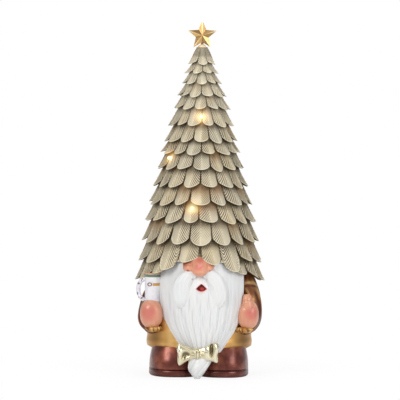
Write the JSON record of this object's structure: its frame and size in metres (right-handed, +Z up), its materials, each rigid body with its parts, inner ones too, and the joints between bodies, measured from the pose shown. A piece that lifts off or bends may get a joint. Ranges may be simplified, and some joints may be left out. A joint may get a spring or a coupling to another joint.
{
  "type": "christmas gnome figure",
  "caption": "Standing gnome figure in a tall hat of overlapping leaves, with a star on top, small lights between the leaves, a long beard, a mug and a battery box in its base.",
  "frame": {"origin": "middle of the figure's outline seen from above, on the floor it stands on", "axes": "+Z up along the hat, -Y the way the figure looks, +X to the figure's left hand"},
  "size_m": [0.1452, 0.1502, 0.4],
  "materials": {
    "painted_resin": "cast resin, hand painted and varnished, with champagne glitter on the hat",
    "star_gold": "cast resin with bright gold paint",
    "warm_lens": "clear warm-white lens, lit",
    "wire_copper": "lacquered copper wire",
    "black_plastic": "moulded, fine grain",
    "plated_steel": "nickel plated",
    "cell_jacket": "plain printed jacket"
  },
  "bodies": {
    "figure": {"figure_casting": "painted_resin", "star_topper": "star_gold", "led_lamp_1": "warm_lens", "led_lamp_2": "warm_lens", "led_lamp_3": "warm_lens", "led_lamp_4": "warm_lens", "led_lamp_5": "warm_lens", "led_lamp_6": "warm_lens", "led_lamp_7": "warm_lens", "led_harness": "wire_copper", "battery_box": "black_plastic", "battery_door": "black_plastic", "door_screw": "plated_steel", "cell_1": "cell_jacket", "cell_2": "cell_jacket", "contact_spring_1": "plated_steel", "contact_spring_2": "plated_steel", "contact_plate_1": "plated_steel", "contact_plate_2": "plated_steel", "contact_bridge": "plated_steel", "switch_housing": "plated_steel"},
    "switch": {"switch_slider": "black_plastic"}
  },
  "joints": [
    {"name": "power_switch", "type": "slide", "parent": "figure", "child": "switch", "axis": [1, 0, 0], "range_m": [-0.003, 0]}
  ]
}
